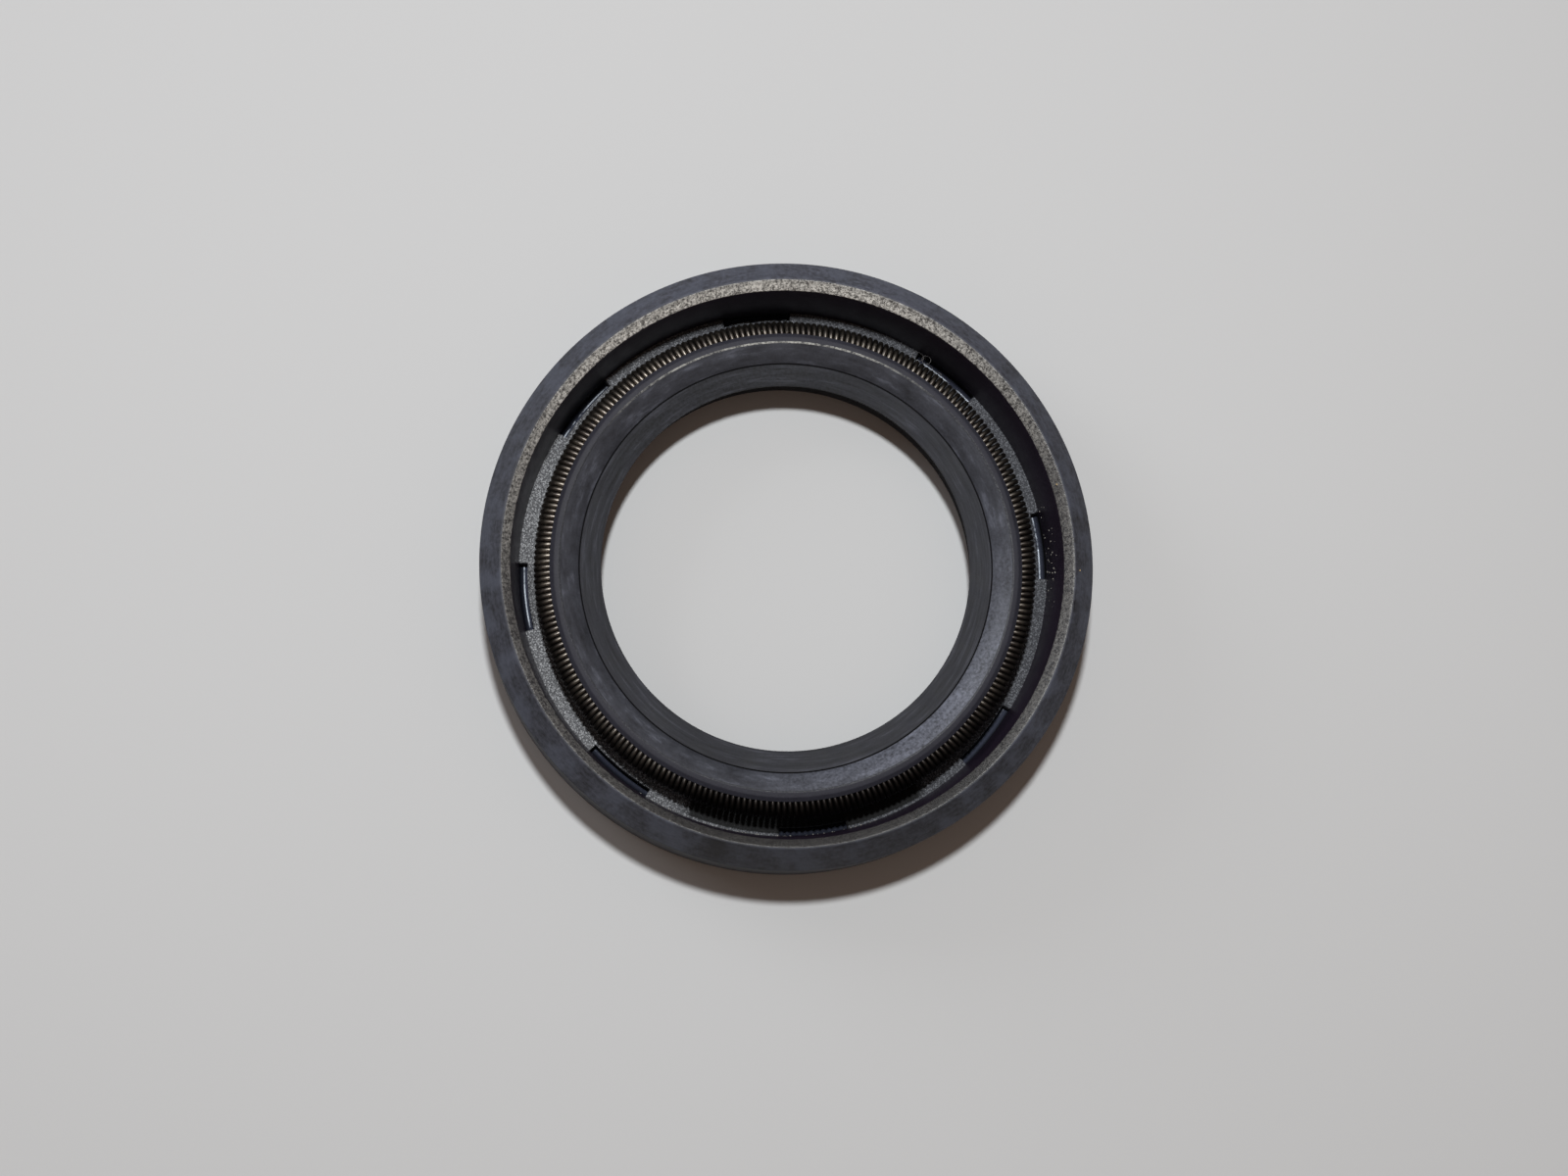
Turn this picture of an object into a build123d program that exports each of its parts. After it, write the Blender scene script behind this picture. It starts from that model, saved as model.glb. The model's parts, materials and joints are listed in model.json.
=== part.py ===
from build123d import *
from math import cos, pi, radians, sin, tan
import os

# Radial shaft seal with a rubber-covered outside, a spring-loaded sealing lip and a dust lip.
# Millimetres. The axis of the seal is Z, the origin is the centre of the flat air-side face, and
# the seal lies on that face with its spring side up, as it lies on a bench.
# A section point is written (radius, height above the air-side face).

# Overall sizes: the radial depth runs from the shaft's surface to the housing's bore
shaft_diameter = 25.0
radial_depth = 7.5
width = 7.0

# Rim: the rubber-covered outside wall of the seal
press_lead_in_radial = 1.4
press_lead_in_height = 1.4
back_chamfer_radial = 0.4
back_chamfer_height = 0.45
rim_bevel_radial = 0.6
rim_bevel_height = 0.8
rim_inner_draft = 0.46

# Floor between the rim and the sealing head
floor_height = 1.9

# Pockets left in the floor by the mould's locating pins, which reach down to the steel case
pocket_count = 8
pocket_angle = 15.0
first_pocket_at = 6.0
pocket_width = 0.56

# Steel case: one pressed ring of L section inside the rubber
case_sheet = 0.8
case_bend_radius = 1.2
case_bend_flat_count = 3
case_back_skin = 0.35
case_outer_skin = 0.85
case_top_skin = 1.9
case_to_neck = 1.2

# Sealing lip and head
lip_interference = 0.7
lip_height = 3.55
lip_land = 0.2
trim_face_width = 1.43
trim_face_rise = 0.22
head_face_width = 1.31
head_face_rise = 0.85
head_round_drop = 0.07
air_cone_angle = 30.0
air_cone_height = 1.6

# Dust lip and the thin neck that carries the head
dust_lip_opening = 0.2
dust_lip_height = 0.25
dust_lip_edge = 0.15
dust_lip_depth = 0.55
dust_lip_rise = 0.6
recess_depth = 0.4
recess_width = 1.9
recess_chamfer = 0.5
neck_thickness = 0.95
neck_flare = 0.5
neck_flare_height = 0.3

# Garter spring: one closed coil, drawn as a ring with one ridge for each turn of the wire
spring_turns = 265
spring_behind_lip = 3.47
spring_above_lip = 0.05
spring_coil_diameter = 1.9
spring_wire_diameter = 0.35
spring_ridge_sides = 4

# The spring's groove in the head, from its upper edge to its lower lip
groove_clearance = 0.02
groove_top_angle = 97.0
groove_bottom_angle = 235.0
groove_flat_count = 4
groove_lower_lip = 0.2

# Sizes that follow from the ones above
outer_diameter = shaft_diameter + 2 * radial_depth
outer_radius = outer_diameter / 2
lip_radius = (shaft_diameter - lip_interference) / 2
dust_lip_radius = (shaft_diameter + dust_lip_opening) / 2
rim_crest_radius = outer_radius - press_lead_in_radial
rim_wall_top_radius = rim_crest_radius - rim_bevel_radial
wall_foot_radius = rim_wall_top_radius - rim_inner_draft
pocket_inner_radius = wall_foot_radius - pocket_width
crease_radius = lip_radius + trim_face_width
crease_height = lip_height + lip_land + trim_face_rise
head_edge_radius = crease_radius + head_face_width
head_edge_height = crease_height + head_face_rise
air_cone_foot_radius = lip_radius + air_cone_height * tan(radians(air_cone_angle))
neck_outer_radius = air_cone_foot_radius + neck_thickness
recess_radius = dust_lip_radius + recess_width
spring_radius = spring_coil_diameter / 2
spring_ridge_depth = 0.6 * spring_wire_diameter
spring_centre_radius = lip_radius + spring_behind_lip
spring_centre_height = lip_height + spring_above_lip
groove_radius = spring_radius + groove_clearance
case_outer_radius = outer_radius - case_outer_skin
case_wall_inner_radius = case_outer_radius - case_sheet
case_flange_top = case_back_skin + case_sheet
case_flange_inner_radius = neck_outer_radius + case_to_neck


def arc_points(centre, radius, start, end, flat_count, outside=False):
    """Points along an arc, angles in degrees from straight outwards, for a round drawn in flats.

    The flats meet on the arc, or with outside they touch it at their middles."""
    step = (end - start) / flat_count
    reach = radius / cos(radians(step / 2)) if outside else radius
    angles = [radians(start + k * step) for k in range(flat_count + 1)]
    return [(centre[0] + reach * cos(a), centre[1] + reach * sin(a)) for a in angles]


def section_face(points):
    """The closed half section through these points, standing on the seal's axis plane."""
    with BuildSketch(Plane.XZ) as section:
        with BuildLine():
            Polyline(*points, close=True)
        make_face()
    return section.sketch


def rubber_section():
    """Half of the seal's rubber section, with the case's room still filled."""
    groove = arc_points(
        (spring_centre_radius, spring_centre_height),
        groove_radius,
        groove_bottom_angle,
        groove_top_angle,
        groove_flat_count,
        outside=True,
    )
    groove_lip, groove_edge = groove[0], groove[-1]
    rim = [
        (outer_radius - back_chamfer_radial, 0),
        (outer_radius, back_chamfer_height),
        (outer_radius, width - press_lead_in_height),
        (rim_crest_radius, width),
        (rim_wall_top_radius, width - rim_bevel_height),
    ]
    channel = [
        (wall_foot_radius, floor_height),
        (neck_outer_radius + neck_flare, floor_height),
        (neck_outer_radius, floor_height + neck_flare_height),
        (groove_lip[0] - groove_lower_lip, groove_lip[1] - groove_lower_lip),
    ]
    head = [
        ((head_edge_radius + groove_edge[0]) / 2, head_edge_height - head_round_drop),
        (head_edge_radius, head_edge_height),
        (crease_radius, crease_height),
        (lip_radius, lip_height + lip_land),
        (lip_radius, lip_height),
        (air_cone_foot_radius, lip_height - air_cone_height),
    ]
    dust_lip = [
        (dust_lip_radius + dust_lip_depth, dust_lip_height + dust_lip_edge + dust_lip_rise),
        (dust_lip_radius, dust_lip_height + dust_lip_edge),
        (dust_lip_radius, dust_lip_height),
        (dust_lip_radius + dust_lip_depth, recess_depth),
        (recess_radius, recess_depth),
        (recess_radius + recess_chamfer, 0),
    ]
    return section_face(rim + channel + groove + head + dust_lip)


def case_section():
    """Half of the steel case's section: a flat flange, a bend and a straight wall."""
    bend_centre = (case_wall_inner_radius - case_bend_radius, case_flange_top + case_bend_radius)
    outer_bend = arc_points(bend_centre, case_bend_radius + case_sheet, -90, 0, case_bend_flat_count)
    inner_bend = arc_points(bend_centre, case_bend_radius, 0, -90, case_bend_flat_count)
    flange_end = [
        (case_flange_inner_radius, case_flange_top),
        (case_flange_inner_radius, case_back_skin),
    ]
    wall_end = [
        (case_outer_radius, width - case_top_skin),
        (case_wall_inner_radius, width - case_top_skin),
    ]
    return section_face(flange_end + outer_bend + wall_end + inner_bend)


def pockets():
    """The blocks that the mould's pins leave open, from the floor down into the steel."""
    foot = case_back_skin + case_sheet / 2
    corners = [
        (pocket_inner_radius, foot),
        (wall_foot_radius, foot),
        (wall_foot_radius, floor_height),
        (pocket_inner_radius, floor_height),
    ]
    first = revolve(section_face(corners), Axis.Z, pocket_angle)
    step = 360 / pocket_count
    start = first_pocket_at - pocket_angle / 2
    return [first.rotate(Axis.Z, start + k * step) for k in range(pocket_count)]


def make_metal_case():
    return revolve(case_section(), Axis.Z)


def make_rubber_body(case):
    return revolve(rubber_section(), Axis.Z) - pockets() - case


def make_garter_spring():
    """A closed coil as a ring in which each turn of the wire is a ridge.

    A ridge is a double pyramid about the ring's own direction, cut off half a pitch to each
    side, where it meets the next one. Its points stand far enough along the ring for the
    ridge to have narrowed there by the depth between two turns."""
    slope = tan(pi / spring_turns)
    apex_distance = spring_centre_radius * slope * spring_radius / spring_ridge_depth
    crest = []
    valley = []
    for side in range(spring_ridge_sides):
        angle = 2 * pi * side / spring_ridge_sides
        out, up = spring_radius * cos(angle), spring_radius * sin(angle)
        share = (spring_centre_radius + out) * slope / (apex_distance + out * slope)
        crest.append((spring_centre_radius + out, 0, spring_centre_height + up))
        valley.append(
            (
                spring_centre_radius + (1 - share) * out,
                share * apex_distance,
                spring_centre_height + (1 - share) * up,
            )
        )
    ridge = []
    for side in range(spring_ridge_sides):
        after = (side + 1) % spring_ridge_sides
        corners = [crest[side], crest[after], valley[after], valley[side]]
        for hand in (1, -1):
            ridge.append(Face(Wire.make_polygon([(x, hand * y, z) for x, y, z in corners])))
    step = 360 / spring_turns
    faces = [face.rotate(Axis.Z, k * step) for k in range(spring_turns) for face in ridge]
    return Solid(Shell(faces))


metal_case = make_metal_case()
parts = {
    "rubber_body": make_rubber_body(metal_case),
    "metal_case": metal_case,
    "garter_spring": make_garter_spring(),
}
os.makedirs("parts", exist_ok=True)
for name, shape in parts.items():
    export_step(shape, f"parts/{name}.step")
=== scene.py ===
import json
import math
import random

import bpy
from mathutils import Matrix, Vector

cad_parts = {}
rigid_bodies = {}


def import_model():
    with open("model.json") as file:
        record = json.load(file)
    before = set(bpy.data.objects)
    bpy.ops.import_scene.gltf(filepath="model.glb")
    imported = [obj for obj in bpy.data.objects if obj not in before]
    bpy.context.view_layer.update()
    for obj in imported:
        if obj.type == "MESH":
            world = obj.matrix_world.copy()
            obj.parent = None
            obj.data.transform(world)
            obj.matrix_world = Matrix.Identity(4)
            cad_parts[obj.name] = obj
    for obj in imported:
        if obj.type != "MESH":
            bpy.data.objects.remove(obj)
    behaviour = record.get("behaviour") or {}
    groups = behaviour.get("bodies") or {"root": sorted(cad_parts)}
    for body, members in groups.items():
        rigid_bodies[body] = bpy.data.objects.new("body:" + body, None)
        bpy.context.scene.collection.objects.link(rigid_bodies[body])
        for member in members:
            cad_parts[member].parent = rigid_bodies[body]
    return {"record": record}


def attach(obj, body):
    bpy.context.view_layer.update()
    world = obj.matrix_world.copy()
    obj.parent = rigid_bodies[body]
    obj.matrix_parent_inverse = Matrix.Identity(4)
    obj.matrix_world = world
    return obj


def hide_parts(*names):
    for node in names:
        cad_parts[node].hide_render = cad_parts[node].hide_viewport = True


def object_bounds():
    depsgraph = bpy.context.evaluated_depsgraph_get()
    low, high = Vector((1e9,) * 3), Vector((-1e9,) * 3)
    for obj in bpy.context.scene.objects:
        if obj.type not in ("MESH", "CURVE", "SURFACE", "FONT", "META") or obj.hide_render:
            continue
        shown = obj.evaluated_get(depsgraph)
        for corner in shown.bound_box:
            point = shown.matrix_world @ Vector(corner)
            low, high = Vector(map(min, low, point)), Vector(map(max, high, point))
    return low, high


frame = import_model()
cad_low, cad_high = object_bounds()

# A rubber-covered shaft seal lying spring side up. Section points are (radius, height) in
# millimetres from the seal's axis and its air-side face; meshes are in metres.
MM = 0.001
MOUNTS = {mount["name"]: mount for mount in frame["record"]["mounts"]}
OUTER_RADIUS = MOUNTS["housing_fit"]["dims"]["r_mm"]
LIP_RADIUS = MOUNTS["shaft_bore"]["dims"]["r_mm"]
WIDTH = cad_high.z / MM
RING_SEGMENTS = 600
CORNER_STEPS = 5
SMOOTH_BELOW = 38

# Rim; a pair is a width and a height
BACK_CHAMFER = (0.4, 0.45)
LEAD_IN = (1.4, 1.4)
RIM_CREST = (OUTER_RADIUS - LEAD_IN[0], WIDTH)
RIM_WALL_TOP = (RIM_CREST[0] - 0.6, WIDTH - 0.8)
WALL_FOOT_RADIUS = RIM_WALL_TOP[0] - 0.46

# Floor, and the pockets that show the steel
FLOOR_HEIGHT = 1.9
FLOOR_TEXTURE_INNER = 15.8
POCKET_COUNT = 8
POCKET_ANGLE = 15.0
FIRST_POCKET_AT = 6.0
POCKET_INNER_RADIUS = WALL_FOOT_RADIUS - 0.56
POCKET_DEPTH = 0.9

# Steel case, and the radius of a painted highlight line on its bend
CASE_OUTER = OUTER_RADIUS - 0.85
CASE_SHEET = 0.8
CASE_BEND = 1.2
CASE_BACK = 0.35
CASE_TOP = WIDTH - 1.9
CASE_TO_NECK = 1.2
CASE_BEND_STEPS = 10
PAINTED_HIGHLIGHT_RADIUS = WALL_FOOT_RADIUS - 0.3

# Head and lips
LIP_TOP = 3.75
LIP_BOTTOM = 3.55
CREASE = (LIP_RADIUS + 1.43, LIP_TOP + 0.22)
HEAD_EDGE = (CREASE[0] + 1.31, CREASE[1] + 0.85)
NECK_RADIUS = LIP_RADIUS + 1.874
NECK_FLARE = (0.5, 0.3)
AIR_CONE_FOOT = (LIP_RADIUS + 0.924, LIP_BOTTOM - 1.6)
DUST_LIP_RADIUS = 12.6
DUST_LIP_DEPTH = 0.55
RECESS_DEPTH = 0.4
RECESS_RADII = (14.5, 15.0)

# Garter spring
SPRING_TURNS = 265
SPRING_CENTRE = (LIP_RADIUS + 3.47, LIP_BOTTOM + 0.05)
COIL_RADIUS = 0.95
WIRE_RADIUS = 0.175
WIRE_SIDES = 6
STEPS_A_TURN = 14
GROOVE_RADIUS = COIL_RADIUS + 0.02
GROOVE_TOP_ANGLE = 97
GROOVE_BOTTOM_ANGLE = 235
GROOVE_STEPS = 12
GROOVE_LOWER_LIP = 0.2


def polar_point(centre, radius, angle):
    """The section point at an angle from straight outwards, in degrees."""
    turn = math.radians(angle)
    return (centre[0] + radius * math.cos(turn), centre[1] + radius * math.sin(turn))


def place_on(azimuth, radius, height):
    """The place in metres at an azimuth, in degrees from +Y towards +X, and a section point."""
    turn = math.radians(azimuth)
    return (radius * math.sin(turn) * MM, radius * math.cos(turn) * MM, height * MM)


# Small helpers for modelling

def deselect_all():
    for other in bpy.context.view_layer.objects:
        other.select_set(False)


def start_piece(name):
    """Names the primitive that was just added and puts its origin at the seal's."""
    piece = bpy.context.object
    piece.name = name
    piece.data.name = name
    bpy.ops.object.transform_apply(location=True, rotation=True, scale=True)
    return piece


def rounded(corners):
    """The section through (radius, height, round, finish) corners, each corner drawn as an arc.

    Gives (radius, height, finish) points; finish belongs to the edge that starts there, and the
    two finishes that meet at a corner share its arc."""
    points = []
    count = len(corners)
    for at in range(count):
        here = Vector(corners[at][:2])
        before = Vector(corners[at - 1][:2]) - here
        after = Vector(corners[(at + 1) % count][:2]) - here
        size, finish = corners[at][2], corners[at][3]
        if size == 0:
            points.append((here.x, here.y, finish))
            continue
        half = before.angle(after) / 2
        reach = min(size / math.tan(half), 0.45 * before.length, 0.45 * after.length)
        size = reach * math.tan(half)
        middle = (before.normalized() + after.normalized()).normalized()
        centre = here + middle * (size / math.sin(half))
        start = here + before.normalized() * reach - centre
        sweep = start.angle_signed(here + after.normalized() * reach - centre)
        for step in range(CORNER_STEPS + 1):
            spot = centre + Matrix.Rotation(-sweep * step / CORNER_STEPS, 2) @ start
            own = step >= CORNER_STEPS / 2
            points.append((spot.x, spot.y, finish if own else corners[at - 1][3]))
    return points


def turned_ring(name, section, segments, finishes):
    """A ring whose closed section is drawn by extruding a circle of edges from point to point.

    finishes gives the material for each name that the section's points carry."""
    deselect_all()
    radius, height, _ = section[0]
    bpy.ops.mesh.primitive_circle_add(
        vertices=segments, radius=radius * MM, location=(0, 0, height * MM))
    piece = start_piece(name)
    for material in finishes.values():
        piece.data.materials.append(material)
    bpy.ops.object.mode_set(mode="EDIT")
    bpy.ops.mesh.select_mode(type="EDGE")
    bpy.ops.mesh.select_all(action="SELECT")
    for next_radius, next_height, _ in section[1:] + section[:1]:
        bpy.ops.mesh.extrude_edges_move(
            TRANSFORM_OT_translate={"value": (0, 0, (next_height - height) * MM)})
        share = next_radius / radius
        bpy.ops.transform.resize(value=(share, share, 1), center_override=(0, 0, 0))
        radius, height = next_radius, next_height
    bpy.ops.mesh.select_all(action="SELECT")
    bpy.ops.mesh.remove_doubles(threshold=0.002 * MM)
    bpy.ops.mesh.normals_make_consistent(inside=False)
    bpy.ops.mesh.select_mode(type="FACE")
    bpy.ops.mesh.select_all(action="DESELECT")
    bpy.ops.object.mode_set(mode="OBJECT")
    slots = [list(finishes).index(point[2]) for point in section]
    found = {}
    for face in piece.data.polygons:
        face.material_index = slots[nearest_edge(section, face.center, found)]
    bpy.ops.object.shade_smooth_by_angle(angle=math.radians(SMOOTH_BELOW))
    return piece


def nearest_edge(section, centre, found):
    """Which edge of the section a face of the ring was drawn from; found keeps each answer."""
    spot = (round(math.hypot(centre.x, centre.y) / MM, 4), round(centre.z / MM, 4))
    if spot not in found:
        found[spot] = min(range(len(section)), key=lambda at: edge_distance(section, at, spot))
    return found[spot]


def edge_distance(section, at, spot):
    """How far a section point is from the middle of one of the section's edges."""
    a = section[at]
    b = section[(at + 1) % len(section)]
    return math.hypot((a[0] + b[0]) / 2 - spot[0], (a[1] + b[1]) / 2 - spot[1])


# Materials

def new_material(name, colour, roughness, metallic=0.0):
    material = bpy.data.materials.new(name)
    material.use_nodes = True
    shader = material.node_tree.nodes["Principled BSDF"]
    shader.inputs["Base Color"].default_value = (*colour, 1)
    shader.inputs["Roughness"].default_value = roughness
    shader.inputs["Metallic"].default_value = metallic
    return material, material.node_tree, shader


def add(tree, kind, settings=(), **inputs):
    """A new node. An input is named with _ for a space, or by number as i0."""
    node = tree.nodes.new(kind)
    for key, value in dict(settings).items():
        setattr(node, key, value)
    for key, value in inputs.items():
        numbered = key[1:].isdigit()
        socket = node.inputs[int(key[1:]) if numbered else key.replace("_", " ")]
        if isinstance(value, bpy.types.NodeSocket):
            tree.links.new(value, socket)
        else:
            socket.default_value = value
    return node


def object_coordinates(tree):
    return add(tree, "ShaderNodeTexCoord").outputs["Object"]


def around_vector(tree, around, across):
    """A texture place that changes slowly along the ring and fast across it, with no seam."""
    split = add(tree, "ShaderNodeSeparateXYZ", Vector=object_coordinates(tree))
    flat = add(tree, "ShaderNodeCombineXYZ", X=split.outputs["X"], Y=split.outputs["Y"])
    length = add(tree, "ShaderNodeVectorMath", {"operation": "LENGTH"}, i0=flat.outputs[0])
    facing = add(tree, "ShaderNodeVectorMath", {"operation": "NORMALIZE"}, i0=flat.outputs[0])
    scaled = add(tree, "ShaderNodeVectorMath", {"operation": "SCALE"}, i0=facing.outputs[0],
                 Scale=around)
    run = calculate(tree, "SUBTRACT", length.outputs["Value"], split.outputs["Z"])
    lift = add(tree, "ShaderNodeCombineXYZ", Z=calculate(tree, "MULTIPLY", run, across))
    return add(tree, "ShaderNodeVectorMath", {"operation": "ADD"}, i0=scaled.outputs[0],
               i1=lift.outputs[0]).outputs[0]


def noise(tree, scale, detail=4.0, roughness=0.55, vector=None):
    place = vector if vector is not None else object_coordinates(tree)
    return add(tree, "ShaderNodeTexNoise", Vector=place, Scale=scale, Detail=detail,
               Roughness=roughness).outputs["Fac"]


def ramp(tree, factor, low, high, dark=0.0, light=1.0):
    """Spreads factor between low and high over dark to light."""
    return add(tree, "ShaderNodeMapRange", {"clamp": True}, Value=factor, From_Min=low,
               From_Max=high, To_Min=dark, To_Max=light).outputs["Result"]


def mix_values(tree, share, first, second):
    """first and second in shares of one minus share and share."""
    return calculate(tree, "ADD", calculate(tree, "MULTIPLY", first, 1 - share),
                     calculate(tree, "MULTIPLY", second, share))


def mix_colours(tree, factor, first, second):
    mixer = add(tree, "ShaderNodeMix", {"data_type": "RGBA"})
    tree.links.new(factor, mixer.inputs[0])
    for socket, colour in ((mixer.inputs[6], first), (mixer.inputs[7], second)):
        if isinstance(colour, bpy.types.NodeSocket):
            tree.links.new(colour, socket)
        else:
            socket.default_value = (*colour, 1)
    return mixer.outputs[2]


def calculate(tree, operation, first, second):
    return add(tree, "ShaderNodeMath", {"operation": operation}, i0=first, i1=second).outputs[0]


def bump(tree, shader, height, distance, strength=1.0):
    node = add(tree, "ShaderNodeBump", Height=height, Distance=distance, Strength=strength)
    tree.links.new(node.outputs["Normal"], shader.inputs["Normal"])


def flat_distance(tree, spot=(0, 0, 0)):
    """How far a place is, seen from above, from a point given in metres or from the axis."""
    split = add(tree, "ShaderNodeSeparateXYZ", Vector=object_coordinates(tree))
    flat = add(tree, "ShaderNodeCombineXYZ", X=split.outputs["X"], Y=split.outputs["Y"])
    gap = add(tree, "ShaderNodeVectorMath", {"operation": "DISTANCE"}, i0=flat.outputs[0], i1=spot)
    return gap.outputs["Value"]


def near_spot(tree, azimuth, radius, inner, outer):
    """One within inner millimetres of a spot on the seal, none beyond outer; azimuth is from +Y."""
    distance = flat_distance(tree, place_on(azimuth, radius, 0))
    return ramp(tree, distance, inner * MM, outer * MM, 1.0, 0.0)


def rest_of(tree, share):
    """One minus share."""
    return calculate(tree, "SUBTRACT", 1.0, share)


def scaled_colour(tree, colour, factor):
    return add(tree, "ShaderNodeVectorMath", {"operation": "SCALE"}, i0=colour,
               Scale=factor).outputs[0]


def rubber(name, colour, roughness=0.7, specular=0.25, spread=0.3, streak=0.5, grain_size=0.13,
           grain_depth=0.012, cloud=0.25, around=14.0, across=5000.0, scratches=0.0, speckle=None):
    """Moulded black rubber: a cloudy tone, fine streaks along the ring and a fine grain.

    spread is how far the tone swings to each side of colour; streak shares it between grain and
    streaks. scratches is how much lighter the thin lines along the ring are. around and across
    are how fast the streaks change along the ring and across it. speckle is a spot
    (azimuth, radius, inner, outer) with bright points, then their scale and strength, which is
    below zero for dark points. Sizes are in millimetres."""
    material, tree, shader = new_material(name, colour, roughness)
    shader.inputs["Specular IOR Level"].default_value = specular
    lines = around_vector(tree, around, across)
    streaks = noise(tree, 1.0, 5.0, 0.7, lines)
    grains = noise(tree, 1 / (grain_size * MM), 2.0, 0.6)
    clouds = noise(tree, 520.0, 4.0, 0.65)
    fine = mix_values(tree, streak, grains, streaks)
    tone = ramp(tree, mix_values(tree, cloud, fine, clouds), 0.34, 0.66, 1 - spread, 1 + spread)
    if scratches:
        tone = calculate(tree, "ADD", tone, ramp(tree, streaks, 0.56, 0.68, 0.0, scratches))
    if speckle:
        points = ramp(tree, noise(tree, speckle[4], 2.0, 0.6), 0.3, 0.66, 0.0, speckle[5])
        here = near_spot(tree, *speckle[:4])
        tone = calculate(tree, "ADD", tone, calculate(tree, "MULTIPLY", points, here))
    tree.links.new(scaled_colour(tree, colour, tone), shader.inputs["Base Color"])
    rough = ramp(tree, clouds, 0.3, 0.7, roughness - 0.06, roughness + 0.06)
    tree.links.new(rough, shader.inputs["Roughness"])
    bump(tree, shader, fine, grain_depth * MM)
    return material


def lead_in_rubber():
    """The press-in chamfer: coarse streaks, bluish worn blotches, painted glints on the far side,
    painted shade on the near side and a dark smudge.
    """
    # The speckle near azimuth 0 is painted glints: bright points on the lit far side.
    material = rubber("lead_in_rubber", (0.031, 0.033, 0.044), 0.6, 0.4, spread=0.95, streak=0.6,
                      grain_size=0.25, grain_depth=0.02, cloud=0.3, around=16.0, across=3600.0,
                      speckle=(0, 19.3, 8.0, 22.0, 3000.0, 1.1))
    tree = material.node_tree
    shader = tree.nodes["Principled BSDF"]
    plain = shader.inputs["Base Color"].links[0].from_socket
    blotches = ramp(tree, noise(tree, 480.0, 4.0, 0.6), 0.47, 0.6, 0.0, 0.5)
    wear_and_highlight = mix_colours(tree, blotches, plain, (0.07, 0.078, 0.106))
    smudge = near_spot(tree, azimuth=194, radius=19.2, inner=0.3, outer=1.3)
    smudge = calculate(tree, "MULTIPLY", smudge, 0.7)
    marked = mix_colours(tree, smudge, wear_and_highlight, (0.01, 0.01, 0.012))
    # Painted shade: the chamfer is darkened on the near side.
    painted_shade_spot = near_spot(tree, azimuth=172, radius=19.3, inner=6, outer=16)
    shade = rest_of(tree, calculate(tree, "MULTIPLY", painted_shade_spot, 0.4))
    tree.links.new(scaled_colour(tree, marked, shade), shader.inputs["Base Color"])
    return material


def land_rubber():
    """The rim's sloping land: rough and scuffed, with a painted silvery highlight on the far side
    and painted shade on the near.
    """
    material, tree, shader = new_material("land_rubber", (0.1, 0.097, 0.092), 0.42)
    shader.inputs["IOR"].default_value = 2.0
    scuffs = noise(tree, 1.0, 4.0, 0.7, around_vector(tree, 80.0, 8000.0))
    grains = noise(tree, 6500.0, 3.0, 0.8)
    mottle = mix_values(tree, 0.6, scuffs, grains)
    tone = ramp(tree, mottle, 0.43, 0.57)
    outwards = ramp(tree, flat_distance(tree), (RIM_CREST[0] - 0.3) * MM,
                    RIM_CREST[0] * MM, 1.0, 0.25)
    # Painted highlight: the inner part of the land is made silvery on the far side.
    painted_highlight_spot = near_spot(tree, azimuth=347, radius=18.3, inner=9, outer=25)
    painted_highlight = calculate(tree, "MULTIPLY", painted_highlight_spot, outwards)
    light = mix_colours(tree, painted_highlight, (0.15, 0.146, 0.14), (1.0, 0.98, 0.92))
    dark = mix_colours(tree, painted_highlight, (0.008, 0.008, 0.011), (0.08, 0.076, 0.07))
    # Painted shade: the land is darkened on the near side.
    painted_shade_spot = near_spot(tree, azimuth=172, radius=18.3, inner=9, outer=19)
    shade = rest_of(tree, calculate(tree, "MULTIPLY", painted_shade_spot, 0.75))
    tree.links.new(scaled_colour(tree, mix_colours(tree, tone, dark, light), shade),
                   shader.inputs["Base Color"])
    bump(tree, shader, mottle, 0.11 * MM)
    return material


def floor_rubber():
    """The floor's flat ring: a coarse mould texture that glitters, painted light on the left side
    and a painted shadow on the near side.
    """
    material, tree, shader = new_material("floor_rubber", (0.12, 0.122, 0.13), 0.6)
    shader.inputs["Specular IOR Level"].default_value = 0.12
    cells = add(tree, "ShaderNodeTexVoronoi", Vector=object_coordinates(tree), Scale=8000.0)
    grains = noise(tree, 12000.0, 3.0, 0.7)
    sparkle = ramp(tree, cells.outputs["Distance"], 0.1, 0.6, 1.0, 0.25)
    tone = calculate(tree, "MULTIPLY", sparkle, ramp(tree, grains, 0.36, 0.6, 0.2, 1.0))
    # Painted shadow: the near side is darkened almost to black and its texture is flattened; rough
    # is the share left outside this painted shadow.
    painted_shadow_spot = near_spot(tree, azimuth=175, radius=17, inner=7.6, outer=8.4)
    inside = ramp(tree, flat_distance(tree), (WALL_FOOT_RADIUS - 0.2) * MM,
                  (WALL_FOOT_RADIUS - 0.1) * MM, 0.95, 0.0)
    rough = rest_of(tree, calculate(tree, "MULTIPLY", painted_shadow_spot, inside))
    # Painted light: the floor is lighter on the left side.
    painted_light_spot = near_spot(tree, azimuth=258, radius=17.2, inner=9, outer=24)
    bright = mix_colours(tree, painted_light_spot, (0.27, 0.28, 0.305), (0.66, 0.67, 0.69))
    colour = mix_colours(tree, tone, (0.02, 0.02, 0.024), bright)
    tree.links.new(scaled_colour(tree, colour, rough), shader.inputs["Base Color"])
    relief = calculate(tree, "ADD", cells.outputs["Distance"], grains)
    bump(tree, shader, calculate(tree, "MULTIPLY", relief, rough), 0.05 * MM)
    return material


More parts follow.
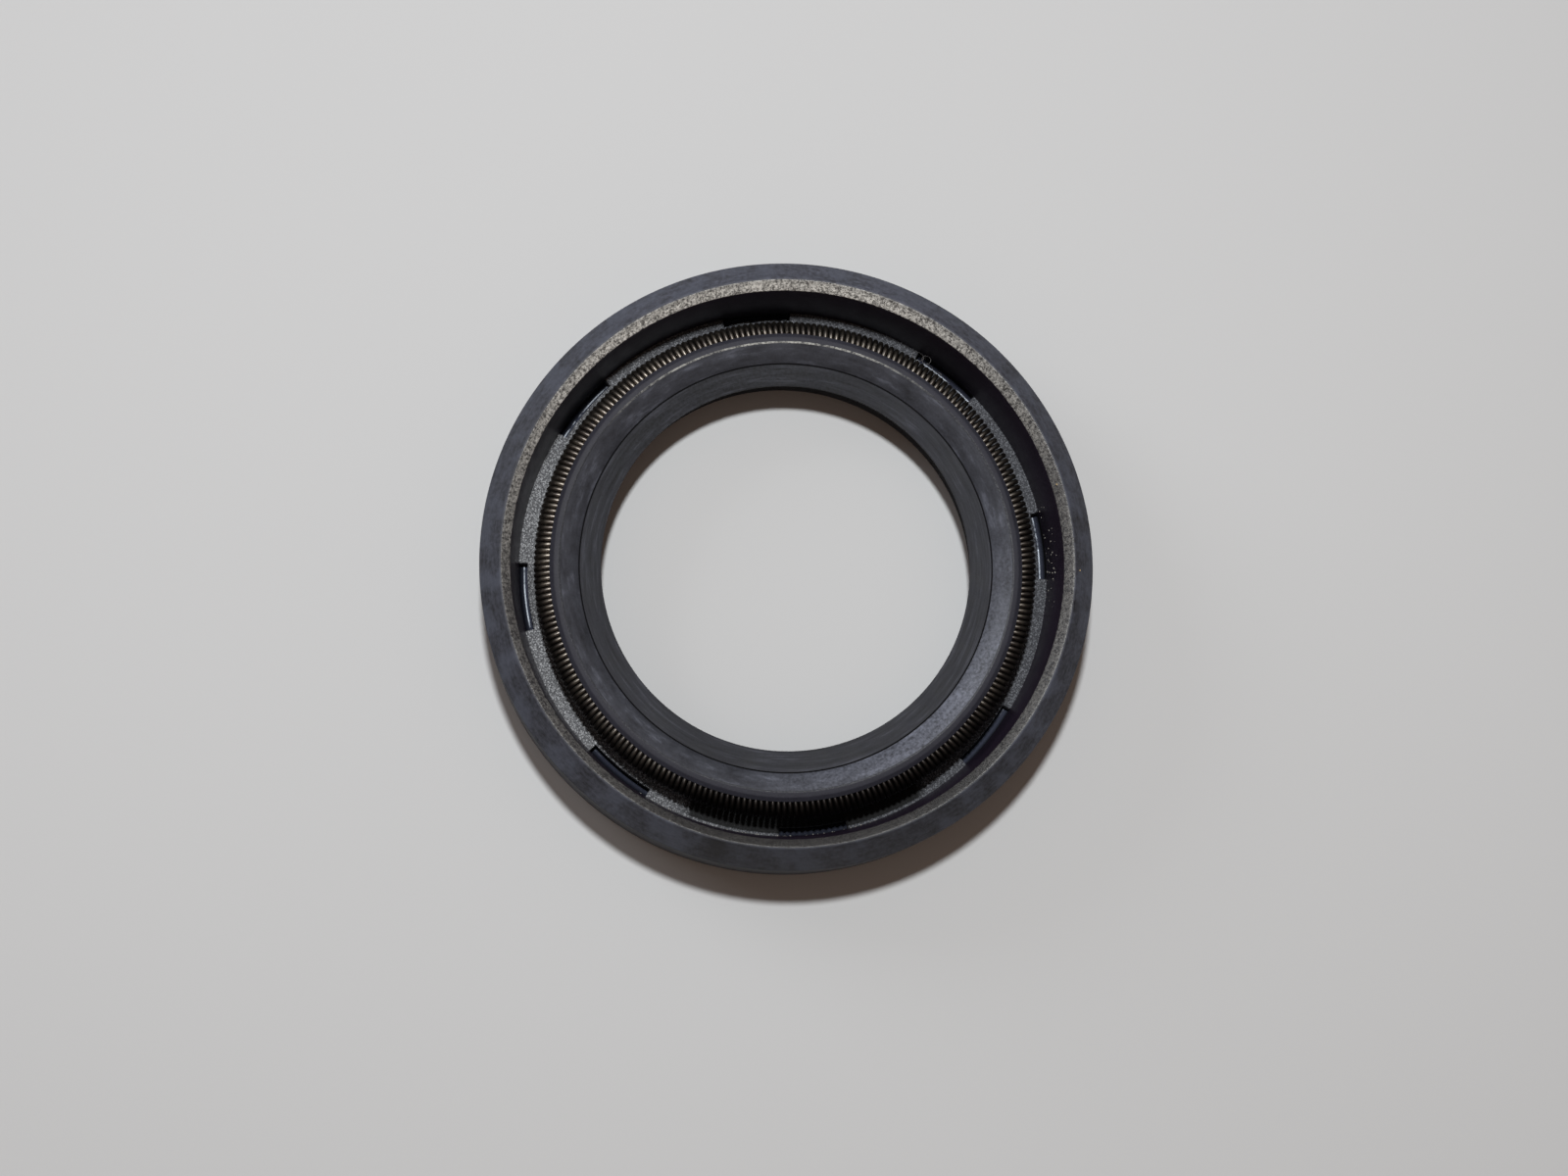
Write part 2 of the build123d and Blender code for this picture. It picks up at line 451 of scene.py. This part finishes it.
def edge_painted_highlight():
    """The head's sharp outer edge: a painted highlight, broken by noise, on the far side, plain
    rubber elsewhere.
    """
    material, tree, shader = new_material("edge_painted_highlight", (0.05, 0.052, 0.058), 0.4)
    # Painted highlight along the far side of the edge.
    side = near_spot(tree, azimuth=354, radius=14.9, inner=5, outer=12)
    breaks = ramp(tree, noise(tree, 2600.0, 6.0, 0.8), 0.4, 0.58)
    wear_and_highlight = calculate(tree, "MULTIPLY", side, breaks)
    tree.links.new(mix_colours(tree, wear_and_highlight, (0.034, 0.036, 0.044), (0.5, 0.5, 0.47)),
                   shader.inputs["Base Color"])
    bump(tree, shader, noise(tree, 7000.0, 3.0, 0.7), 0.05 * MM)
    return material


def pressed_steel():
    """Dark phosphated sheet steel, with a painted highlight line on its bend, taken away on the near
    side by painted shade.
    """
    material, tree, shader = new_material("pressed_steel", (0.02, 0.021, 0.026), 0.42, metallic=1.0)
    # Painted highlight: a lighter line along the bend, taken away on the near side.
    waver = calculate(tree, "MULTIPLY", noise(tree, 500.0), 0.06 * MM)
    place = calculate(tree, "ADD", flat_distance(tree), waver)
    offset = calculate(tree, "SUBTRACT", place, PAINTED_HIGHLIGHT_RADIUS * MM)
    gap = calculate(tree, "ABSOLUTE", offset, 0.0)
    line = calculate(tree, "MULTIPLY", ramp(tree, gap, 0.02 * MM, 0.06 * MM, 1.0, 0.0),
                     ramp(tree, noise(tree, 900.0), 0.38, 0.56))
    painted_shade_spot = near_spot(tree, azimuth=174, radius=17.2, inner=14.5, outer=18)
    line = calculate(tree, "MULTIPLY", line, rest_of(tree, painted_shade_spot))
    tree.links.new(mix_colours(tree, line, (0.005, 0.0055, 0.008), (0.1, 0.108, 0.12)),
                   shader.inputs["Base Color"])
    bump(tree, shader, noise(tree, 5000.0), 0.006 * MM)
    return material


def wire_steel():
    """Drawn spring wire: bronze-brown and patchy, with painted shade on the near side and painted
    light on the left.
    """
    material, tree, shader = new_material("wire_steel", (0.12, 0.11, 0.094), 0.5, metallic=1.0)
    patches = noise(tree, 1200.0, 4.0, 0.65)
    plain = mix_colours(tree, ramp(tree, patches, 0.35, 0.65), (0.062, 0.054, 0.05),
                        (0.145, 0.13, 0.112))
    # Painted light: the wire is lighter on the left.
    lit = near_spot(tree, azimuth=300, radius=15.6, inner=6, outer=16)
    lit = ramp(tree, lit, 0.0, 1.0, 1.0, 1.8)
    # Painted shade: the wire is darkened on the near side.
    painted_wire_shade = near_spot(tree, azimuth=174, radius=15.6, inner=7, outer=16)
    painted_wire_shade = calculate(tree, "MULTIPLY", painted_wire_shade, 0.85)
    colour = mix_colours(tree, painted_wire_shade, scaled_colour(tree, plain, lit), (0.014, 0.0125, 0.0125))
    tree.links.new(colour, shader.inputs["Base Color"])
    tree.links.new(ramp(tree, noise(tree, 5000.0), 0.3, 0.7, 0.38, 0.52), shader.inputs["Roughness"])
    bump(tree, shader, noise(tree, 12000.0, 2.0), 0.006 * MM)
    return material


# Pieces

def rubber_corners():
    """The corners of the rubber's section, each with its round and the finish of the next edge.

    An edge may stand a few hundredths out, to come out right once it is rounded."""
    groove_lip = polar_point(SPRING_CENTRE, GROOVE_RADIUS, GROOVE_BOTTOM_ANGLE)
    corners = [
        (OUTER_RADIUS - BACK_CHAMFER[0], 0, 0.1, "cover_rubber"),
        (OUTER_RADIUS, BACK_CHAMFER[1], 0.2, "cover_rubber"),
        (OUTER_RADIUS, WIDTH - LEAD_IN[1], 0.12, "lead_in_rubber"),
        (RIM_CREST[0], RIM_CREST[1] + 0.04, 0.2, "land_rubber"),
        (*RIM_WALL_TOP, 0.35, "wall_rubber"),
        (WALL_FOOT_RADIUS, FLOOR_HEIGHT, 0, "floor_rubber"),
        (POCKET_INNER_RADIUS, FLOOR_HEIGHT, 0, "floor_rubber"),
        (FLOOR_TEXTURE_INNER, FLOOR_HEIGHT, 0, "channel_rubber"),
        (NECK_RADIUS + NECK_FLARE[0], FLOOR_HEIGHT, 0.3, "channel_rubber"),
        (NECK_RADIUS, FLOOR_HEIGHT + NECK_FLARE[1], 0.2, "channel_rubber"),
        (groove_lip[0] - GROOVE_LOWER_LIP, groove_lip[1] - GROOVE_LOWER_LIP, 0.1,
         "channel_rubber"),
    ]
    sweep = GROOVE_TOP_ANGLE - GROOVE_BOTTOM_ANGLE
    for step in range(GROOVE_STEPS + 1):
        angle = GROOVE_BOTTOM_ANGLE + sweep * step / GROOVE_STEPS
        corners.append((*polar_point(SPRING_CENTRE, GROOVE_RADIUS, angle), 0, "channel_rubber"))
    groove_edge = corners[-1]
    corners[-1] = (*groove_edge[:2], 0, "band_rubber")
    corners += [
        ((HEAD_EDGE[0] + groove_edge[0]) / 2 + 0.05, HEAD_EDGE[1] - 0.06, 0.25, "band_rubber"),
        (HEAD_EDGE[0] + 0.04, HEAD_EDGE[1], 0.03, "edge_painted_highlight"),
        (HEAD_EDGE[0] - 0.08, HEAD_EDGE[1] - 0.06, 0.03, "head_rubber"),
        # The crease's two faces take the darker channel_rubber as painted shade.
        (CREASE[0] + 0.05, CREASE[1] + 0.035, 0, "channel_rubber"),
        (CREASE[0], CREASE[1] - 0.08, 0, "channel_rubber"),
        (CREASE[0] - 0.05, CREASE[1] - 0.01, 0, "trim_rubber"),
        (LIP_RADIUS, LIP_TOP, 0.02, "trim_rubber"),
        (LIP_RADIUS, LIP_BOTTOM, 0.05, "under_rubber"),
        (*AIR_CONE_FOOT, 0.3, "under_rubber"),
        (DUST_LIP_RADIUS + DUST_LIP_DEPTH, 1.0, 0.15, "under_rubber"),
        (DUST_LIP_RADIUS, 0.4, 0.03, "under_rubber"),
        (DUST_LIP_RADIUS, 0.25, 0.03, "under_rubber"),
        (DUST_LIP_RADIUS + DUST_LIP_DEPTH, RECESS_DEPTH, 0.1, "under_rubber"),
        (RECESS_RADII[0], RECESS_DEPTH, 0.1, "under_rubber"),
        (RECESS_RADII[1], 0, 0.05, "cover_rubber"),
    ]
    return corners


def make_rubber():
    materials = [
        rubber("cover_rubber", (0.022, 0.022, 0.026)),
        lead_in_rubber(),
        land_rubber(),
        rubber("wall_rubber", (0.016, 0.0105, 0.021), 0.36, 0.3),
        floor_rubber(),
        # channel_rubber is darker than the rest of the rubber: painted shade in the crease, the
        # spring's groove and the pocket walls.
        rubber("channel_rubber", (0.01, 0.01, 0.012), 0.6),
        rubber("band_rubber", (0.024, 0.024, 0.034), 0.6, 0.35),
        edge_painted_highlight(),
        # The head's speckle near azimuth 134 is a painted sparkle highlight.
        rubber("head_rubber", (0.046, 0.049, 0.061), 0.45, 0.55, spread=0.6, streak=0.8,
               around=6.0, across=5000.0, scratches=0.9,
               speckle=(134, 14.2, 3.0, 15.0, 5200.0, 2.2)),
        rubber("trim_rubber", (0.021, 0.022, 0.028), 0.7, 0.3, spread=0.6, streak=0.85, around=3.5,
               across=5000.0, scratches=0.8, speckle=(340, 13.0, 4.0, 14.0, 5200.0, -0.5)),
        rubber("under_rubber", (0.018, 0.018, 0.021)),
    ]
    finishes = {material.name: material for material in materials}
    piece = turned_ring("moulded_rubber", rounded(rubber_corners()), RING_SEGMENTS, finishes)
    sink_pockets(piece)
    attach(piece, "root")
    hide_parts("rubber_body")
    return piece


def in_pocket(x, y):
    """True for a place whose angle round the seal lies over one of the pockets."""
    step = 360 / POCKET_COUNT
    angle = math.degrees(math.atan2(y, x)) - FIRST_POCKET_AT
    return abs((angle + step / 2) % step - step / 2) < POCKET_ANGLE / 2


def sink_pockets(piece):
    """Sinks the floor's outer strip over each pocket, down past the steel's surface."""
    deselect_all()
    piece.select_set(True)
    bpy.context.view_layer.objects.active = piece
    for face in piece.data.polygons:
        centre = face.center / MM
        radius = math.hypot(centre.x, centre.y)
        on_floor = abs(centre.z - FLOOR_HEIGHT) < 0.01 and face.normal.z > 0.9
        over_steel = POCKET_INNER_RADIUS - 0.01 < radius < WALL_FOOT_RADIUS
        face.select = on_floor and over_steel and in_pocket(centre.x, centre.y)
    bpy.ops.object.mode_set(mode="EDIT")
    bpy.ops.mesh.extrude_region_move(TRANSFORM_OT_translate={"value": (0, 0, -POCKET_DEPTH * MM)})
    bpy.ops.object.mode_set(mode="OBJECT")
    # The pocket walls take the darker channel_rubber as painted shade.
    wall = piece.data.materials.find("channel_rubber")
    for face in piece.data.polygons:
        radius = face.center.xy.length / MM
        deep = face.center.z / MM < FLOOR_HEIGHT - 0.01 and radius < WALL_FOOT_RADIUS + 0.01
        if deep and radius > POCKET_INNER_RADIUS - 0.01 and face.center.z / MM > 0.9:
            face.material_index = wall


def make_case():
    """The pressed steel ring, with its bend as one smooth arc."""
    inner = CASE_OUTER - CASE_SHEET
    flange_inner = NECK_RADIUS + CASE_TO_NECK
    flange_top = CASE_BACK + CASE_SHEET
    centre = (inner - CASE_BEND, flange_top + CASE_BEND)
    turns = [90 * step / CASE_BEND_STEPS for step in range(CASE_BEND_STEPS + 1)]
    section = [(flange_inner, flange_top), (flange_inner, CASE_BACK)]
    section += [polar_point(centre, CASE_BEND + CASE_SHEET, -90 + turn) for turn in turns]
    section += [(CASE_OUTER, CASE_TOP), (inner, CASE_TOP)]
    section += [polar_point(centre, CASE_BEND, -turn) for turn in turns]
    section = [(*point, "steel") for point in section]
    piece = turned_ring("pressed_case", section, RING_SEGMENTS // 2, {"steel": pressed_steel()})
    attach(piece, "root")
    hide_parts("metal_case")
    return piece


def make_spring():
    """The closed coil: a circle of wire screwed into a straight coil, then bent round to close."""
    deselect_all()
    mean = COIL_RADIUS - WIRE_RADIUS
    length = 2 * math.pi * SPRING_CENTRE[0]
    bpy.ops.mesh.primitive_circle_add(
        vertices=WIRE_SIDES, radius=WIRE_RADIUS * MM, rotation=(math.pi / 2, 0, 0),
        location=(0, 0, mean * MM))
    piece = start_piece("coil_spring")
    screw = piece.modifiers.new("turns", "SCREW")
    screw.axis = "X"
    screw.angle = 2 * math.pi
    screw.screw_offset = length / SPRING_TURNS * MM
    screw.iterations = SPRING_TURNS
    screw.steps = STEPS_A_TURN
    screw.render_steps = STEPS_A_TURN
    screw.use_merge_vertices = False
    bpy.ops.object.modifier_apply(modifier="turns")
    bpy.ops.object.origin_set(type="ORIGIN_GEOMETRY", center="BOUNDS")
    piece.location = (0, 0, 0)
    bend = piece.modifiers.new("closed", "SIMPLE_DEFORM")
    bend.deform_method = "BEND"
    bend.deform_axis = "Z"
    bend.angle = 2 * math.pi * (length + 2 * WIRE_RADIUS) / length
    bpy.ops.object.modifier_apply(modifier="closed")
    piece.location = (0, -SPRING_CENTRE[0] * MM, SPRING_CENTRE[1] * MM)
    bpy.ops.object.transform_apply(location=True)
    bpy.ops.object.mode_set(mode="EDIT")
    bpy.ops.mesh.select_all(action="SELECT")
    bpy.ops.mesh.remove_doubles(threshold=0.01 * MM)
    bpy.ops.mesh.normals_make_consistent(inside=False)
    bpy.ops.object.mode_set(mode="OBJECT")
    bpy.ops.object.shade_smooth()
    piece.data.materials.append(wire_steel())
    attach(piece, "root")
    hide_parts("garter_spring")
    return piece


def dirt(name, colour, metallic=0.0):
    return new_material(name, colour, 0.5, metallic)[0]


def finish_dirt(pieces, name, material):
    """Joins the crumbs or fibres of one kind of dirt, gives them one material and attaches them to
    the root body. Joins the crumbs or fibres of one kind of dirt and hands them in as part of the
    rubber.
    """
    deselect_all()
    for piece in pieces:
        piece.select_set(True)
    bpy.context.view_layer.objects.active = pieces[0]
    bpy.ops.object.join()
    whole = bpy.context.object
    whole.name = whole.data.name = name
    bpy.ops.object.transform_apply(location=True, rotation=True, scale=True)
    whole.data.materials.clear()
    whole.data.materials.append(material)
    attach(whole, "root")
    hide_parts("rubber_body")


def make_crumbs():
    """Pale dust and flash crumbs along the foot of the rim's wall, and two bright metal specks."""
    deselect_all()
    bpy.ops.mesh.primitive_ico_sphere_add(subdivisions=1, radius=0.03 * MM, location=(0, 0, 0))
    first = bpy.context.object
    crumbs = [first]
    slope = (RIM_WALL_TOP[0] - WALL_FOOT_RADIUS) / (RIM_WALL_TOP[1] - FLOOR_HEIGHT)
    places = [(random.gauss(88, 7), random.uniform(0.05, 2.6)) for _ in range(34)]
    places += [(random.uniform(160, 215), random.uniform(0.02, 0.2)) for _ in range(46)]
    for azimuth, rise in places:
        bpy.ops.object.duplicate()
        crumb = bpy.context.object
        crumb.location = place_on(azimuth, WALL_FOOT_RADIUS + slope * rise, FLOOR_HEIGHT + rise)
        size = random.uniform(0.6, 1.5)
        crumb.scale = (size, size * random.uniform(0.6, 1.6), size)
        crumbs.append(crumb)
    first.location = place_on(33, WALL_FOOT_RADIUS - 0.1, FLOOR_HEIGHT)
    finish_dirt(crumbs, "pale_crumbs", dirt("pale_dust", (0.42, 0.4, 0.36)))
    deselect_all()
    specks = []
    for azimuth, radius, height in ((73.5, 18.27, 6.6), (91.5, 18.95, 6.66)):
        bpy.ops.mesh.primitive_ico_sphere_add(
            subdivisions=1, radius=0.055 * MM, location=place_on(azimuth, radius, height))
        specks.append(bpy.context.object)
    finish_dirt(specks, "metal_specks", dirt("bright_metal", (0.85, 0.62, 0.3), 0.4))


def make_lint():
    """A curl of grey lint caught at one pocket, as a few thin loops of fibre."""
    loops = []
    for azimuth, radius, rise, size in ((31.5, 17.2, 0.25, 0.42), (33.5, 17.3, 0.3, 0.3),
                                        (35.0, 16.9, 0.25, 0.36), (37.5, 17.0, 0.2, 0.24)):
        deselect_all()
        bpy.ops.mesh.primitive_torus_add(
            major_segments=24, minor_segments=5, major_radius=size * MM, minor_radius=0.014 * MM,
            location=place_on(azimuth, radius, FLOOR_HEIGHT + rise),
            rotation=[random.uniform(-0.5, 0.5) for _ in range(3)])
        loop = bpy.context.object
        loop.scale = (1.0, random.uniform(0.5, 0.9), 1.0)
        loops.append(loop)
    finish_dirt(loops, "lint_curl", dirt("grey_lint", (0.16, 0.15, 0.15)))


# Stage, light and camera

def make_stage():
    """A plain pale sheet under the seal."""
    deselect_all()
    bpy.ops.mesh.primitive_plane_add(size=3.0, location=(0, 0, -0.01 * MM))
    floor = start_piece("paper")
    material, _, shader = new_material("pale_paper", (0.585, 0.59, 0.595), 0.9)
    shader.inputs["Specular IOR Level"].default_value = 0.1
    floor.data.materials.append(material)


def add_lamp(name, energy, colour, azimuth, elevation, distance):
    """An area lamp aimed at the seal from a direction and a distance, in watts and metres."""
    data = bpy.data.lights.new(name, "AREA")
    data.energy = energy
    data.color = colour
    lamp = bpy.data.objects.new(name, data)
    bpy.context.collection.objects.link(lamp)
    turn, rise = math.radians(azimuth), math.radians(elevation)
    flat = math.cos(rise)
    away = Vector((math.sin(turn) * flat, math.cos(turn) * flat, math.sin(rise)))
    lamp.location = away * distance
    lamp.rotation_euler = away.to_track_quat("Z", "Y").to_euler()
    return lamp


def add_round_lamp(name, energy, colour, azimuth, elevation, distance, size):
    """A round lamp that the camera doesn't see."""
    lamp = add_lamp(name, energy, colour, azimuth, elevation, distance)
    lamp.data.shape = "DISK"
    lamp.data.size = size
    lamp.visible_camera = False


def add_strip(name, energy, colour, azimuth, elevation, distance, width, height):
    """A wide low strip of light that faces the seal from the side."""
    lamp = add_lamp(name, energy, colour, azimuth, elevation, distance)
    lamp.data.shape = "RECTANGLE"
    lamp.data.size = width
    lamp.data.size_y = height


def light_scene():
    """A small lamp close above, a low strip, a cool window, and a dim warm sky."""
    add_round_lamp("near_lamp", 0.655, (0.965, 0.99, 1.0), azimuth=346.4, elevation=75.34,
                   distance=0.279, size=0.0239)
    add_round_lamp("cool_window", 0.7, (0.9, 0.95, 1.0), azimuth=304, elevation=22,
                   distance=0.6, size=0.3)
    add_strip("low_strip", 0.9, (1.0, 0.98, 0.94), azimuth=181, elevation=3.6,
              distance=1.0, width=1.2, height=0.08)
    world = bpy.context.scene.world or bpy.data.worlds.new("sky")
    bpy.context.scene.world = world
    world.use_nodes = True
    sky = world.node_tree.nodes["Background"]
    sky.inputs["Color"].default_value = (1.0, 0.74, 0.6, 1)
    sky.inputs["Strength"].default_value = 0.15


def place_camera():
    """The photograph's view: nearly straight down, leaning to the near side and a little left."""
    distance, lean, left = 180.0, 8.5, 4.0
    aim = Vector((-0.14, -1.38, 3.5)) * MM
    slopes = (-math.tan(math.radians(left)), -math.tan(math.radians(lean)))
    sideways = Vector((*slopes, 1)).normalized()
    data = bpy.data.cameras.new("camera")
    camera = bpy.data.objects.new("camera", data)
    bpy.context.collection.objects.link(camera)
    right = Vector((0, 1, 0)).cross(sideways).normalized()
    up = sideways.cross(right)
    turn = Matrix((right, up, sideways)).transposed().to_4x4()
    camera.matrix_world = Matrix.Translation(aim + sideways * distance * MM) @ turn
    data.sensor_width = 36
    data.lens = 62.9
    data.clip_start = 0.01
    bpy.context.scene.camera = camera


random.seed(7)
make_rubber()
make_case()
make_spring()
make_crumbs()
make_lint()
make_stage()
light_scene()
place_camera()
bpy.context.scene.view_settings.view_transform = "Standard"
